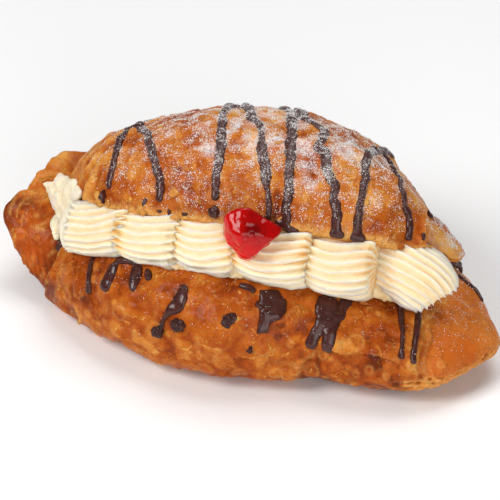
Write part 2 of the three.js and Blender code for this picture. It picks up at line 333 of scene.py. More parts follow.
class Look:
    """A material put together from nodes. Sizes of detail are in mm."""

    def __init__(self, name):
        self.material = bpy.data.materials.new(name)
        self.material.use_nodes = True
        self.tree = self.material.node_tree
        self.tree.nodes.clear()
        self.shader = self.node("BsdfPrincipled")
        self.node("OutputMaterial", Surface=self.shader.outputs[0])
        self.place = self.node("TexCoord").outputs["Object"]

    def node(self, kind, **inputs):
        """A new node, each named input set to a value or joined to a socket."""
        node = self.tree.nodes.new("ShaderNode" + kind)
        for name, value in inputs.items():
            self.put(node.inputs[name], value)
        return node

    def put(self, socket, value):
        if isinstance(value, bpy.types.NodeSocket):
            self.tree.links.new(value, socket)
        else:
            socket.default_value = value

    def set(self, **values):
        for name, value in values.items():
            self.put(self.shader.inputs[name.replace("_", " ")], value)

    def maths(self, operation, a, b=0.0, clamp=False):
        node = self.node("Math")
        node.operation, node.use_clamp = operation, clamp
        self.put(node.inputs[0], a)
        self.put(node.inputs[1], b)
        return node.outputs[0]

    def times(self, a, b):
        return self.maths("MULTIPLY", a, b)

    def total(self, *parts, clamp=False):
        """The sum of the parts, held between 0 and 1 if clamp is set."""
        so_far = parts[0]
        for k, part in enumerate(parts[1:], 2):
            so_far = self.maths("ADD", so_far, part, clamp and k == len(parts))
        return so_far

    def warped(self, size, amount):
        """The place, shifted unevenly by up to amount, in mm, along each axis."""
        noise = self.node("TexNoise", Vector=self.place, Scale=1 / (size * MM))
        node = self.node("VectorMath")
        node.operation = "MULTIPLY_ADD"
        for socket, value in zip(node.inputs, (noise.outputs["Color"], (amount * MM,) * 3, self.place)):
            self.put(socket, value)
        return node.outputs[0]

    def grain(self, size, detail=3.0, roughness=0.55, distortion=0.0):
        return self.node("TexNoise", Vector=self.place, Scale=1 / (size * MM), Detail=detail,
                         Roughness=roughness, Distortion=distortion).outputs[0]

    def cells(self, size, place=None):
        """Distance from the middle of the nearest cell, as a share of size."""
        return self.node("TexVoronoi", Vector=place or self.place, Scale=1 / (size * MM)).outputs["Distance"]

    def dots(self, size, low, high, place=None):
        """1 in the middle of each cell, falling from 1 to 0 between two shares of size."""
        return self.between(self.cells(size, place), low, high, 1.0, 0.0)

    def value(self, name):
        node = self.node("Attribute")
        node.attribute_name = name
        return node.outputs["Fac"]

    def steps(self, factor, stops):
        """Colour from a factor, through the colours at each place in stops."""
        node = self.node("ValToRGB", Fac=factor)
        elements = node.color_ramp.elements
        while len(elements) < len(stops):
            elements.new(0.5)
        for element, (place, colour) in zip(elements, stops.items()):
            element.position, element.color = place, srgb(*colour)
        return node.outputs[0]

    def between(self, factor, low, high, to_low=0.0, to_high=1.0):
        node = self.node("MapRange")
        for socket, value in zip(node.inputs, (factor, low, high, to_low, to_high)):
            self.put(socket, value)
        return node.outputs[0]

    def mix(self, factor, a, b):
        node = self.node("Mix")
        node.data_type = "RGBA"
        for at, value in (0, factor), (6, a), (7, b):
            self.put(node.inputs[at], value)
        return node.outputs[2]

    def bump(self, *layers):
        """Relief from (height, depth in mm) layers."""
        below = {}
        for height, depth in layers:
            below = {"Normal": self.node("Bump", Height=height, Distance=depth * MM, **below).outputs[0]}
        self.set(**below)


def crust_look():
    """Baked laminated dough: mottled gold to brown, scaly where the top layer has split, paler where it is
    torn, and dusted with sugar too fine to be separate grains. It is smoother and redder where glazed."""
    k = Look("baked_crust")
    glazed, sugar, pale = k.value("glazed"), k.value("sugar"), k.value("pale")
    broad = k.grain(11.0, 2, 0.5, 0.8)
    mottle = k.grain(6.5, 3, 0.5, 0.5)
    sand = k.grain(0.8, 2, 0.5)
    # thin pale outlines of flakes, where a wandering level is crossed, each with a small step
    level = k.grain(7.0, 3, 0.5, 1.6)
    line = k.between(k.maths("ABSOLUTE", k.maths("SUBTRACT", level, 0.5)), 0.0, 0.022, 1.0, 0.0)
    line = k.times(line, k.between(k.grain(6.0, 2), 0.42, 0.5))
    step = k.between(level, 0.49, 0.51)
    spots = k.times(k.dots(4.4, 0.2, 0.34, k.warped(3.0, 2.0)), k.between(k.grain(9.0, 2), 0.47, 0.58))
    freckles = k.times(k.dots(2.6, 0.1, 0.2, k.warped(1.0, 1.2)), k.between(k.grain(5.0, 2), 0.58, 0.64))
    change = k.total(
        k.between(mottle, 0.3, 0.7, -0.19, 0.19), k.between(broad, 0.3, 0.7, -0.15, 0.15),
        k.between(sand, 0.3, 0.7, -0.06, 0.06), k.times(step, 0.1), k.times(spots, -0.18),
        k.times(freckles, 0.3), k.times(line, -0.5))
    change = k.times(change, k.between(glazed, 0.0, 1.0, 1.0, 0.4))
    colour = k.steps(k.total(k.value("brown"), change, clamp=True), {
        0.0: (222, 162, 84), 0.25: (204, 130, 52), 0.5: (183, 97, 29), 0.75: (156, 68, 15),
        1.0: (100, 38, 9)})
    colour = k.mix(k.times(glazed, 0.45), colour, srgb(200, 88, 28))
    crumb = k.steps(k.grain(1.1, 4, 0.7), {0.3: (190, 118, 48), 0.5: (217, 157, 82), 0.7: (238, 194, 120)})
    colour = k.mix(k.times(pale, k.between(sand, 0.25, 0.6, 0.5, 1.0)), colour, crumb)
    specks = k.times(k.dots(0.6, 0.15, 0.26), k.between(k.grain(1.8, 3, 0.7), 0.42, 0.58))
    thick = k.times(k.between(sugar, 0.7, 1.0, 0.0, 0.45), k.between(sand, 0.35, 0.65, 0.1, 1.5))
    dust = k.times(sugar, k.total(specks, thick))
    colour = k.mix(k.maths("MINIMUM", dust, 0.9), colour, srgb(250, 244, 244))
    shine = k.total(k.between(k.grain(2.4, 3), 0.3, 0.7, 0.22, 0.46), k.times(glazed, -0.08),
                    k.times(sugar, 0.2), k.times(pale, 0.3), clamp=True)
    k.set(Base_Color=colour, Roughness=shine, Specular_IOR_Level=0.05, Coat_Weight=0.06, Coat_Roughness=0.05,
          Subsurface_Weight=0.06, Subsurface_Radius=(1.0, 0.4, 0.15), Subsurface_Scale=0.0015)
    k.bump((k.grain(3.6, 2, 0.45), 0.4), (sand, 0.06), (step, 0.15), (line, 0.12), (spots, 0.2))
    return k.material


def cream_look():
    """Whipped buttercream: warm white crests over yellow grooves, with painted shade in deeper yellow to
    orange where the groove value is high.
    """
    k = Look("buttercream")
    deep = k.total(k.value("groove"), k.between(k.grain(4, 3), 0.3, 0.7, -0.1, 0.1), clamp=True)
    colour = k.steps(deep, {
        0.0: (218, 205, 196), 0.12: (234, 221, 201), 0.25: (243, 229, 197), 0.45: (244, 222, 182),
        0.7: (243, 208, 150), 1.0: (232, 165, 80)})
    k.set(Base_Color=colour, Roughness=k.between(k.grain(1.2), 0.3, 0.7, 0.42, 0.6), IOR=1.46,
          Subsurface_Weight=0.6, Subsurface_Radius=(1.0, 0.86, 0.66), Subsurface_Scale=0.0022)
    k.bump((k.grain(0.8, 4, 0.65), 0.1))
    return k.material


def chocolate_look():
    """Dark chocolate that set with a soft sheen, dusted with fine sugar, and broken up where crumbly."""
    k = Look("chocolate")
    sugar, crumbly = k.value("sugar"), k.value("crumbly")
    tone = k.steps(k.grain(1.8, 4, 0.6), {0.3: (48, 17, 12), 0.7: (76, 32, 25)})
    dust = k.times(sugar, k.total(k.dots(0.5, 0.14, 0.26), 0.03))
    colour = k.mix(k.maths("MINIMUM", dust, 0.85), tone, srgb(240, 232, 230))
    shine = k.total(k.between(k.grain(3.5), 0.35, 0.65, 0.2, 0.45), k.times(sugar, 0.35),
                    k.times(crumbly, 0.3), clamp=True)
    k.set(Base_Color=colour, Roughness=shine, Specular_IOR_Level=0.2, Coat_Weight=0.3, Coat_Roughness=0.14)
    k.bump((k.grain(1.8, 2, 0.5), 0.08), (k.times(crumbly, k.grain(0.7, 3, 0.7)), 0.9))
    return k.material


def cherry_look():
    """Glazed cherry: clear red jelly over deeper red flesh."""
    k = Look("glazed_cherry")
    deep = k.total(k.value("deep"), k.between(k.grain(3.5, 2), 0.3, 0.7, -0.12, 0.12), clamp=True)
    k.set(Base_Color=k.steps(deep, {0.0: (214, 14, 6), 0.5: (176, 3, 2), 1.0: (104, 0, 0)}),
          Roughness=k.between(k.grain(2.0), 0.3, 0.7, 0.05, 0.16), Specular_IOR_Level=0.12,
          Coat_Weight=0.3, Coat_Roughness=0.04, Subsurface_Weight=0.25,
          Subsurface_Radius=(1.0, 0.08, 0.05), Subsurface_Scale=0.002)
    k.bump((k.grain(2.5, 2), 0.2))
    return k.material


def sugar_look():
    """Icing sugar grains, not all equally clean."""
    k = Look("icing_sugar")
    k.set(Base_Color=k.steps(k.grain(0.8), {0.3: (244, 238, 236), 0.7: (255, 253, 252)}),
          Roughness=k.between(k.grain(0.5), 0.3, 0.7, 0.5, 0.75))
    k.bump((k.grain(0.2), 0.03))
    return k.material


def floor_look():
    k = Look("studio_floor")
    k.set(Base_Color=k.steps(k.grain(60, 2), {0.3: (251, 251, 251), 0.7: (252, 252, 252)}), Roughness=0.7)
    return k.material


crust, cream, chocolate = crust_look(), cream_look(), chocolate_look()
cherry_red, sugar_white = cherry_look(), sugar_look()

# ---------------------------------------------------------------- base: the lower half, with the front flap

lumps, flecks, warp = Noise(11), Noise(12), Noise(13)


def flap_inside(x, z, wander):
    """1 on the front flap. It ends in a slanted edge near each corner, and its hem lifts in a low arch."""
    left, right = -67 + 0.385 * z + 0.6 * wander, 67 - 0.17 * z + wander
    hem = wander * 0.5 + keyed(x, [
        (-70, 4), (18, 4.5), (26, 7), (30, 14), (34, 18.5), (40, 19.8), (47, 20), (53, 19), (60, 17),
        (65, 13), (71, 8)])
    inside = ramp(x, left - 0.5, left + 0.5) * (1 - ramp(x, right - 3.5, right + 1))
    return inside * ramp(z, hem - 0.5, hem + 0.5)


def make_base():
    half = LENGTH / 2
    x = stations(-half, half, 384)[:, None]
    turn = keyed(np.linspace(0, 1, 246, endpoint=False), [(0, 0), (0.14, 70), (0.82, 238), (1, 360)])
    c, s = np.cos(np.radians(turn))[None], np.sin(np.radians(turn))[None]
    rounding = end_rounding(x, -half, half, 2.2)
    centre_y = keyed(x, [(-83, 0), (-70, 4), (-60, 4), (-30, 1), (30, 1), (60, -2), (83, -5)])
    centre_z = keyed(x, [(-83, 24), (-72, 20), (-56, 15), (-30, 14), (60, 11), (83, 10)])
    front = keyed(x, [
        (-83, 16), (-72, 30), (-60, 32), (-30, 38), (0, 41.7), (35, 35.7), (55, 39.5), (70, 39.5), (83, 24)])
    back = keyed(x, [(-83, 14), (-70, 39), (-50, 40), (0, 40), (35, 37), (60, 37), (70, 37), (83, 20)])
    up = keyed(x, [
        (-83, 6), (-66, 12.5), (-50, 18.5), (0, HEIGHT_OF_SLIT - 13), (50, 19.5), (66, 14.5), (83, 9)])
    down = keyed(x, [(-83, 6), (-66, 14), (-50, 15.5), (30, 14), (83, 10)])
    tilt = np.radians(keyed(x, [(-83, 40), (-70, 45), (-50, 14), (-30, 0), (50, 0), (83, -4)]))
    across = np.where(c < 0, front, back) * rounding * signed_power(c, 0.75)
    upward = np.where(s > 0, up, down) * rounding**0.6 * signed_power(s, 0.72)
    y = centre_y + across * np.cos(tilt) - upward * np.sin(tilt)
    z = centre_z + across * np.sin(tilt) + upward * np.cos(tilt)
    z = np.maximum(0, z + 2.6 * ramp(x, 62, 80) * ramp(z, 12, 6))
    skin = Skin(np.stack([x + 0 * y, y, z], axis=-1))
    p = skin.p
    px, py, pz = np.moveaxis(p, -1, 0)
    facing = np.sqrt(np.maximum(0, -c)) * rounding
    wander = 1.1 * warp(p, 6, 2)
    flap = flap_inside(x, z, wander) * (facing > 0.05)
    arch = ramp(x, 22, 32)
    py -= facing * (FLAP_STEP + arch + 1.2 * ramp(x, -50, -60)) * flap
    above = ramp(pz, 0.3, 4)
    # the left corner: a shallow hollow between its rim and the cream, with folds that fan out from it
    fan_y, fan_z = py - 17, pz - 37
    spoke = np.arctan2(fan_y * 0.75 + fan_z * 0.66, -(px + 58)) + 0.25 * warp(p, 9)
    reach = np.hypot(px + 58, np.hypot(fan_y, fan_z))
    leaf = ramp(px, -50, -60) * ramp(reach, 3, 12)
    inner = leaf * ramp(py + 0.9 * pz, 24, 32)
    folds = saw(spoke * 3.1, 0.3)
    streaks = leaf * ramp(reach, 14, 22) * (1 - inner) * saw(spoke * 6.3 + 0.3 * warp(p, 5), 0.5) ** 3
    streaks = streaks * ramp(flecks(p, 5, 2), -0.15, 0.25)
    n = skin.normals()
    bubble = near(p, (-70.5, -8, 19.5), (9.5, 7, 7))
    crease = bell(px + 67 - 0.385 * pz + 2, 1.3) * ramp(pz, 10, 15) * ramp(pz, 28, 23)
    pucker = near(p, (-67, -11.5, 13.5), (8, 6, 5.5))
    puckers = saw((px + 0.5 * pz + 0.8 * warp(p, 6)) / 2.6, 0.5)
    skin.push(-2.2 * near(p, (-68, 6, 31), (10, 9, 8)) - 1.0 * near(p, (-70, -4.5, 26), (10, 4, 1.8)), n)
    skin.push(inner * (1.5 * folds - 0.7) * ramp(reach, 6, 24) + 1.5 * bubble**0.7 - 1.5 * crease
              + pucker * (1.2 * puckers - 0.7), n)
    # pleats fan out where the flap ends on the right, and the corner beyond them is smooth
    beside = px - 68 + 0.17 * pz + 0.8 * warp(p + 40, 7)
    pleats = bell(beside + 0.5, 0.6 + 0.16 * (28 - pz)) * ramp(pz, 27, 22)
    pleat = saw(np.arctan2(px - 62, 31 - pz) * 5.5 + 0.9 * warp(p, 7), 0.4)
    smooth = ramp(beside, 0, 3)
    # layers that show as thin steps and pores along the low edge of the right corner
    layers = ramp(px, 56, 64) * ramp(pz + 0.8 * warp(p, 6), 12.5, 10) * above
    tier = (pz + 0.8 * warp(p, 5) + 0.04 * px) / 1.7
    pores = ramp(warp(p * [1, 1, 2.2], 1.7, 2), 0.15, 0.5)
    skin.push(layers * (0.6 * saw(tier, 0.35) - 1.3 * pores) + pleats * (0.55 * pleat - 0.4))
    lump = (0.9 * lumps(p, 15) + 0.75 * lumps(p, 7.5, 2) + 0.12 * lumps(p, 2.6, 2)) * (1 - 0.6 * smooth)
    lump = lump * (1 - 0.5 * ramp(px, -58, -64))
    skin.push(above * lump)
    rough = 1 - 0.9 * smooth
    tone, bare = skin.plates(23, 120, lambda q: ramp(q[..., 2], 2, 8) * rough, (2.5, 8), (0.25, 0.7))
    on, rims = skin.blisters(
        21, 280, lambda q: (ramp(q[..., 2], 26, 8) * ramp(q[..., 2], 1, 4) + 0.05) * rough,
        (0.9, 2.8), (0.1, 0.45), 0.4)
    skin.p[..., 2] = np.maximum(0, skin.p[..., 2])
    edge = np.abs(np.gradient(flap, axis=0)).clip(0, 0.35) * 2.2 + np.abs(np.gradient(flap, axis=1)) * 1.2
    crumb_edge = np.clip(edge, 0, 1) * ramp(flecks(p, 3, 2), -0.3, 0.3)
    middle = near(p, (5, -36, 28), (26, 12, 7))
    # painted shade in the brown value: browner under the lifted arch of the flap's hem, in the crease where
    # the flap's left edge lies over the corner, in the pores of the layered right corner, a little towards
    # the bottom and at the low right corner
    brown = (
        0.6 + 0.16 * lumps(p, 13) - 0.18 * lump - 0.22 * on + 0.08 * tone + 0.22 * arch * (1 - flap) * facing
        - 0.36 * smooth + 0.28 * ramp(px, -56, -62) - 0.2 * pleats - 0.3 * layers + 0.35 * layers * pores
        + 0.12 * bubble + 0.3 * crease - 0.25 * pucker * puckers + 0.12 * near(p, (77, -15, 16), (7, 9, 8))
        + 0.02 * ramp(pz, 13, 3) - 0.54 * inner + 0.15 * middle
    )
    glazed = smooth + 0.3 * ramp(px, -56, -62) + bubble + 0.4 * middle - 0.7 * inner
    skin.looks["glazed"] = np.clip(glazed, 0, 1)
    skin.looks["brown"] = np.clip(brown, 0, 1)
    skin.looks["pale"] = np.clip(
        0.75 * crumb_edge + 0.8 * layers * (1 - pores) * saw(tier, 0.5) + 0.35 * inner * folds + 0.3 * bare
        + 0.35 * rims + 0.5 * pleats * pleat**2 + 0.6 * streaks,
        0, 1)
    high = ramp(skin.p[..., 2], 14, 22) * ramp(px, 58, 70)
    skin.looks["sugar"] = np.clip(0.2 * high * ramp(py, -30, 0) + 0.04 * ramp(px, -62, -45), 0, 1)
    return skin


# ---------------------------------------------------------------- lid: the upper half, lifted at its front

def make_lid():
    x0, x1 = -62, 61.5
    x = stations(x0, x1, 350)[:, None]
    rounding = end_rounding(x, x0, x1, 2.6)
    blunt = end_rounding(x, x0, x1, 4.5)
    front_y = keyed(x, [
        (-62, -1), (-50, -14), (-40, -20.5), (-20, -23.6), (0, -24.5), (25, -23.5), (40, -20.8), (48, -18.5),
        (54, -13.5), (57, -12), (60.5, -10)])
    front_z = keyed(x, [
        (-62, 40), (-50, 44.6), (-40, 48), (-25, 50.8), (-10, 52.4), (12, 54.8), (25, 55.6), (35, 54.6),
        (48, 53), (54, 48.9), (57, 48.2), (60.5, 49.2)])
    back_y = keyed(x, [(-62, 27), (-30, 36), (0, 39.4), (30, 35.5), (60, 24)])
    back_z = keyed(x, [(-62, 20), (0, 22), (60, 18)])
    arch = keyed(x, [(-62, 27), (-45, 26.8), (-25, 29.5), (0, 31), (25, 30.6), (45, 25.8), (60, 16)])
    width = np.hypot(back_y - front_y, back_z - front_z)
    along_y, along_z = (back_y - front_y) / width, (back_z - front_z) / width
    under, outer = 44, 222
    t_under = np.arange(under) / under
    t_outer = (1 - np.arange(outer) / outer) ** 1.2
    s = np.concatenate([-1 + 2 * t_under, -signed_power(np.cos(np.pi * t_outer), 0.85)])[None]
    belly = np.concatenate([np.sqrt(np.sin(np.pi * t_under)), 0 * t_outer])[None]
    dome = np.concatenate([0 * t_under, np.sin(np.pi * t_outer) ** 0.8])[None]
    share = np.concatenate([0 * t_under - 1, t_outer])[None] + 0 * x
    # the front edge reaches further to the right than the rest
    rounding = rounding + (blunt - rounding) * ramp(s, -0.1, -0.9) * (x > 0)
    shrink = rounding**0.35
    h = (arch * rounding**0.8 * dome - LID_BELLY * rounding * belly) * shrink
    w = s * width / 2 * shrink
    y = (front_y + back_y) / 2 + w * along_y - h * along_z
    z = (front_z + back_z) / 2 + w * along_z + h * along_y
    skin = Skin(np.stack([x + 0 * y, y, z], axis=-1))
    p = skin.p.copy()
    px, py, pz = np.moveaxis(p, -1, 0)
    on_top = share >= 0
    # the torn front edge wanders, and its last millimetre is bare crumb
    to_edge = np.where(on_top, share * 95, np.concatenate([t_under, 0 * t_outer])[None] * 60)
    hang = bell(to_edge, 4.5) * ramp(rounding, 0.1, 0.5)
    ripple = (0.9 * warp(p * [1, 0, 0], 8) + 0.5 * warp(p * [1, 0, 0], 2.4, 2)) * ramp(px, -52, -40)
    skin.p[..., 2] -= hang * (ripple + 0.8)
    skin.p[..., 1] -= hang * (0.5 * warp(p * [1, 0, 0] + 50, 5) + 0.2)
    # folds across the left end, and a narrow split in the right half
    n = skin.normals()
    slant = px - 0.35 * py - 0.3 * pz + 0.7 * warp(p, 9)
    folds = saw(slant / 4.4, 0.55) * ramp(slant, -52, -58) * on_top
    split = bell(px - 15.6 + 0.12 * (pz - 58) - 0.5 * warp(p, 4), 1.1) * ramp(pz, 66, 62) * on_top * (py < 0)
    lump = 0.8 * lumps(p + 70, 14) + 0.65 * lumps(p + 70, 6.5, 2) + 0.12 * lumps(p + 70, 2.2, 2)
    # the right corner is torn along a slanting line, and what lies beyond it is lower
    beyond = px - 57.1 + 0.31 * py + 0.5 * warp(p, 3, 2)
    tear = ramp(beyond, -0.4, 0.4) * on_top * ramp(py, 26, 18)
    raised = bell(beyond, 6) * (beyond < 0) * on_top * ramp(py, 26, 18)
    top = lump + 1.1 * folds - 1.3 * split + 1.1 * raised
    skin.push(on_top * top - 1.4 * tear + 0.4 * (~on_top) * lump, n)
    on, rims = skin.blisters(22, 150, lambda q: ramp(q[..., 2], 40, 48), (0.9, 3.0), (0.1, 0.4), 0.3)
    tone, bare = skin.plates(24, 60, lambda q: ramp(q[..., 2], 44, 50), (2, 7), (0.15, 0.5))
    crumb = bell(to_edge, np.where(on_top, 0.9, 3.5))
    # the narrow split is browner inside, as painted shade
    brown = (
        0.48 - 0.15 * ramp(px, 25, 50) + 0.16 * lumps(p + 70, 12) - 0.12 * lump - 0.12 * on + 0.12 * tone
        + 0.25 * split + 0.12 * bell(to_edge, 9) - 0.15 * folds - 0.2 * tear
        - 0.06 * ramp(pz, 62, 70)
    )
    skin.looks["brown"] = np.clip(brown, 0, 1)
    skin.looks["pale"] = np.clip(
        crumb * 0.9 + 0.35 * folds**3 + 0.4 * bare + 0.2 * rims + 0.5 * (~on_top)
        + 0.8 * bell(beyond - 0.2, 0.6) * on_top * ramp(py, 26, 18), 0, 1)
    x, _, z = np.moveaxis(skin.p, -1, 0)
    height = 0.5 * ramp(z, 46, 60) + 0.5 * ramp(z, 60, 72) + 0.1 * ramp(x, 5, 40) * ramp(z, 54, 64)
    patches = 0.75 + 0.5 * flecks(p, 9, 3)
    skin.looks["sugar"] = np.clip(height * ramp(x, -70, -30) * patches * ramp(z, 42, 50), 0, 1) * on_top
    return skin


def make_lobe():
    """The lid's right corner, folded back behind its front part: a lip, and a layered wall set back below."""
    x0, x1 = 40, 65.3
    x = stations(x0, x1, 90)[:, None]
    turn = round_turn(150)
    below = ramp(-np.sin(turn), 0.0, 0.3)
    rounding = end_rounding(x, x0, x1, 2.3)
    centre_z = keyed(x, [(40, 38), (50, 36), (55, 33.6), (58.8, 31.6), (62, 29), (65.3, 26)])
    half_height = keyed(x, [(40, 4.5), (54, 3.2), (60, 2.6), (65, 2.2)])
    behind = ramp(np.cos(turn), -0.2, 0.6)
    y = 18.8 + 8.8 * rounding * np.cos(turn) * (1 - 0.25 * below * (1 - behind))
    z = centre_z + half_height * rounding * np.sin(turn) * (1 + below * (2.2 + 4 * behind)) - 0.2 * (y - 12)
    skin = Skin(np.stack([x - 1.2 * below, y, z], axis=-1))
    p = skin.p.copy()
    _, py, pz = np.moveaxis(p, -1, 0)
    tier = (pz + 0.35 * py + 0.9 * warp(p, 5, 2)) / 2.1
    low = ramp(np.sin(turn) + 0.15 * warp(p, 6), 0.3, 0.0) * (1 - behind)
    lump = 0.6 * lumps(p + 30, 9) + 0.35 * lumps(p + 30, 4, 2)
    lip = bell(np.sin(turn) - 0.12, 0.16) * rounding * (1 - behind)
    skin.push(lump + low * (0.6 * saw(tier, 0.4) - 0.3) + 0.7 * lip * (1 + warp(p, 3, 2)))
    # the layered wall set back below the lip is browner, as painted shade in that recess
    brown = 0.04 + 0.14 * flecks(p, 5, 2) + 0.1 * lump + 0.3 * low + 0.4 * behind
    skin.looks["brown"] = np.clip(brown, 0, 1)
    skin.looks["pale"] = np.clip(0.6 * low * saw(tier, 0.4) ** 1.5 + 0.7 * lip, 0, 1)
    skin.looks["sugar"] = 0.32 * ramp(np.sin(turn) + 0 * x, 0.3, 0.9)
    return skin


crust_meshes = [make().mesh() for make in (make_base, make_lid, make_lobe)]
for name, mesh_data in zip(("crust_base", "crust_lid", "crust_lobe"), crust_meshes):
    add_piece(name, mesh_data, crust, ["pastry"])

# ---------------------------------------------------------------- cream: star-piped shells in the slit

# Each shell was started at its fat head, on the right, and pulled to the left, where the next head covers
# its tail. A row is the head's place, the tail's place, its radius at the head, how much of that is left at
# the tail, how many degrees its ridges turn round it, and how many ridges it has.
SHELLS = [
    ((64.4, -12.4, 30.4), (37, -7.4, 41.4), 9.6, 0.76, -4, 23),
    ((47.2, -17, 42.1), (24, -20.7, 42.8), 10.2, 0.72, 8, 21),
    ((28.2, -21, 44.4), (0.8, -22, 43.8), 10, 0.7, 6, 22),
    ((5.2, -22, 43.9), (-18, -22, 42.4), 9.6, 0.7, 3, 21),
    ((-13.2, -21.6, 42.8), (-36.6, -20, 39.9), 9.3, 0.72, -8, 20),
    ((-31.8, -18.9, 41.4), (-54.8, -14, 33), 8.6, 0.91, -14, 20),
]
# How much the ridges of each shell sag in its middle, in degrees.
SAGS = (3, 14, 16, 15, 6, 4)
# The middle of the rightmost shell from its mouth back to its tail, as (share of its length, place).
BEND = [
    (0, (64.4, -12.4, 30.4)), (0.1, (62.5, -12.1, 33)), (0.25, (58.2, -11.3, 35.8)), (0.5, (51, -9.6, 38)),
    (0.75, (44, -8.5, 39.8)), (1, (37, -7.4, 41.4)),
]
swirl = Noise(31)


def make_shell(index, head, tail, head_radius, left_over, turned, ridges):
    head, tail = np.array(head, float), np.array(tail, float)
    length, cap, rings_behind_cap = np.linalg.norm(head - tail), 2.4, 46
    phi = np.linspace(0, np.pi / 2, 24)[:-1]
    behind_cap = np.linspace(cap, length, rings_behind_cap)
    place = np.concatenate([cap * (1 - np.cos(phi)), behind_cap])[:, None]
    t = place / length
    full = np.concatenate([np.sin(phi) ** 0.55, np.ones(rings_behind_cap)])[:, None]
    phase = round_turn(ridges * 8) + 0 * t
    bends = index == 0
    if bends:
        # the rightmost shell bends down at its mouth and narrows there
        centre = np.stack([keyed(t[:, 0], [(share, q[k]) for share, q in BEND]) for k in range(3)], -1)
        ahead = unit(-np.gradient(centre, place[:, 0], axis=0))
    else:
        centre = head + (tail - head) * t
        centre[:, 2:] -= np.sin(np.pi * t)
        ahead = np.array([1.0, 0, 0])
    at_mouth, near_mouth = (0.83, 0.92) if bends else (0.9, 0.97)
    swell = keyed(t, [(0, at_mouth), (0.1, near_mouth), (0.25, 1.0), (0.6, 0.97), (1, left_over)])
    front = unit(np.array([0, -1.0, 0]) + ahead[..., 1:2] * ahead) + 0 * centre
    upward = np.cross(front, ahead + 0 * centre)
    rng = np.random.default_rng(40 + index)
    wobble = 0.06 * swirl(np.stack([phase * 3 + 9 * index, t * 3 + 0 * phase, 0 * phase], -1), 1)
    turn = phase - np.radians(turned * (1 - t) + SAGS[index] * np.sin(np.pi * t**1.3)) - wobble
    scoop = np.abs(np.sin(ridges / 2 * phase)) ** 0.85
    ridge = 1 - 2 * scoop
    which = np.floor(phase * ridges / (2 * np.pi) + 0.5).astype(int) % ridges
    uneven = (0.7 + 0.6 * rng.random(ridges))[which]
    depth = 0.07 * 22 / ridges * uneven * full**0.3 * (1 + 0.5 * bell(t - 0.17, 0.12))
    radius = head_radius * swell * full * (1 + depth * ridge)
    p = (centre[:, None] + (radius * np.cos(turn))[..., None] * front[:, None]
         + (radius * np.sin(turn))[..., None] * upward[:, None])
    # each ridge ends at the head in a blunt tooth
    tooth = bell(full - 0.95, 0.08) * bell(t, 0.3)
    length_of_tooth = (1.1 if bends else 0.9) * uneven * tooth * np.maximum(ridge, -0.4)
    p = p + length_of_tooth[..., None] * (ahead + 0 * centre)[:, None]
    p[..., 2] -= 0.4 * np.maximum(length_of_tooth, 0) * ramp(-np.sin(turn), -0.3, 0.5)
    skin = Skin(p)
    fine = 0.16 * swirl(p, 2.2, 3) + 0.35 * swirl(p, 7)
    skin.push(fine * np.minimum(1, full * 1.5))
    # painted shade: deeper yellow to orange at the tail under the next head, on the underside, and at the
    # head's end where shells meet; the grooves between ridges are yellower, partly the cream's own tone and
    # partly painted shade
    tail_shade = ramp(t + 0 * turn, 0.72, 0.92) * (index < len(SHELLS) - 1)
    under = ramp(-np.sin(turn), 0.5, 1)
    joint_shade = (0.12 + 0.3 * scoop) * bell(t, 0.1) * (not bends)
    skin.looks["groove"] = np.clip(0.52 * scoop + 0.55 * tail_shade + 0.12 * fine + 0.4 * under + joint_shade, 0, 1)
    return skin.mesh()


def make_lump(centre, radii, tilt, seed, rough, tone, size):
    """An uneven rounded lump, from a ball drawn out along each axis. tone is how deep its colour is."""
    p = ball(*size) * np.array(radii)
    c, s = math.cos(math.radians(tilt)), math.sin(math.radians(tilt))
    p = np.stack([p[..., 0], p[..., 1] * c - p[..., 2] * s, p[..., 1] * s + p[..., 2] * c], -1)
    skin = Skin(p + np.array(centre))
    bumps = swirl(skin.p + seed * 17, 4.5, 3)
    skin.push(rough * bumps)
    skin.looks["groove"] = np.clip(tone - 0.25 * bumps, 0, 1)
    return skin.mesh()


def make_bead(route, radii, seed):
    """Cream pressed along the rim of the base, under the shells."""
    d, path = run_along(route, 0.5)
    r = spread(radii, d)[:, None] * np.sqrt(np.clip(np.minimum(d, d[-1] - d) / 3, 0.001, 1))[:, None]
    a = round_turn(36)
    skin = Skin(np.stack([
        path[:, :1] + 0 * a, path[:, 1:2] + r * np.cos(a), path[:, 2:] + r * np.sin(a)], -1))
    bumps = swirl(skin.p + seed, 3.2, 4, 0.6)
    skin.push(0.7 * bumps)
    # its deeper yellow is painted shade under the shells
    skin.looks["groove"] = np.clip(0.6 - 0.2 * bumps, 0, 1)
    return skin.mesh()


def make_smear(outline, bulge, thickness, seed):
    """A torn slab of cream: its outline, how it bulges out at the middle, and how thick it is."""
    outline, bulge = np.array(outline, float), np.array(bulge, float)
    edge, middle = round_outline(outline, 110), outline.mean(axis=0)
    over, back = np.linspace(0, np.pi / 2, 30), np.linspace(0, 1, 14)[1:]
    shares = np.concatenate([np.sin(over), np.linspace(1, 0, 14)[1:]])
    high = np.concatenate([np.cos(over) ** 0.8, -thickness * back**0.5])
    skin = Skin(middle + (edge - middle)[None] * shares[:, None, None] + bulge * high[:, None, None])
    bumps = swirl(skin.p + seed, 4.5, 3, 0.5)
    # a small pit in the ragged dab at the left end, deeper yellow inside as painted shade
    hollow = near(skin.p, (-61.2, -2, 36.6), (2, 3, 3))
    skin.push(bumps - 1.6 * hollow)
    skin.looks["groove"] = np.clip(0.24 - 0.2 * bumps + 0.5 * hollow, 0.1, 1)
    return skin.mesh()


